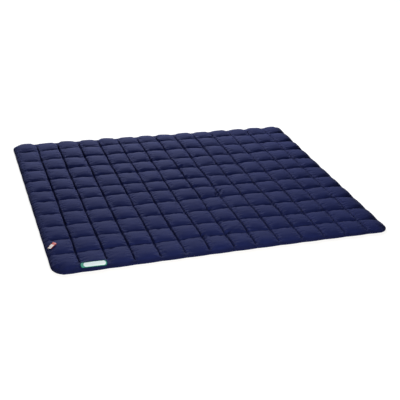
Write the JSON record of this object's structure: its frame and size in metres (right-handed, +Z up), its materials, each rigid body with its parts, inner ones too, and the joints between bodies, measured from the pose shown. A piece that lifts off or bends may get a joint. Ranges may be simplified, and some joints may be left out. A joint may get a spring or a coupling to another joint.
{
  "type": "quilted dog blanket",
  "caption": "Flat rectangular quilted blanket for a dog, a filled pad sewn into square puffs with rounded corners, a sewn-on badge and a folded edge tag.",
  "frame": {"origin": "on the floor under the middle of the blanket's outline", "axes": "+X along the long side, +Y across to the back edge, +Z up off the floor"},
  "size_m": [0.9992, 0.8049, 0.0198],
  "materials": {
    "quilt_cloth": "fine matt navy weave with a soft sheen, quilted in squares",
    "badge_weave": "woven green badge with a plain white field and a stitched rim",
    "tag_ribbon": "folded ribbon, white at its sewn end and coral at its folded end"
  },
  "bodies": {
    "root": {"quilted_pad": "quilt_cloth", "badge": "badge_weave", "edge_tag": "tag_ribbon"}
  },
  "joints": []
}
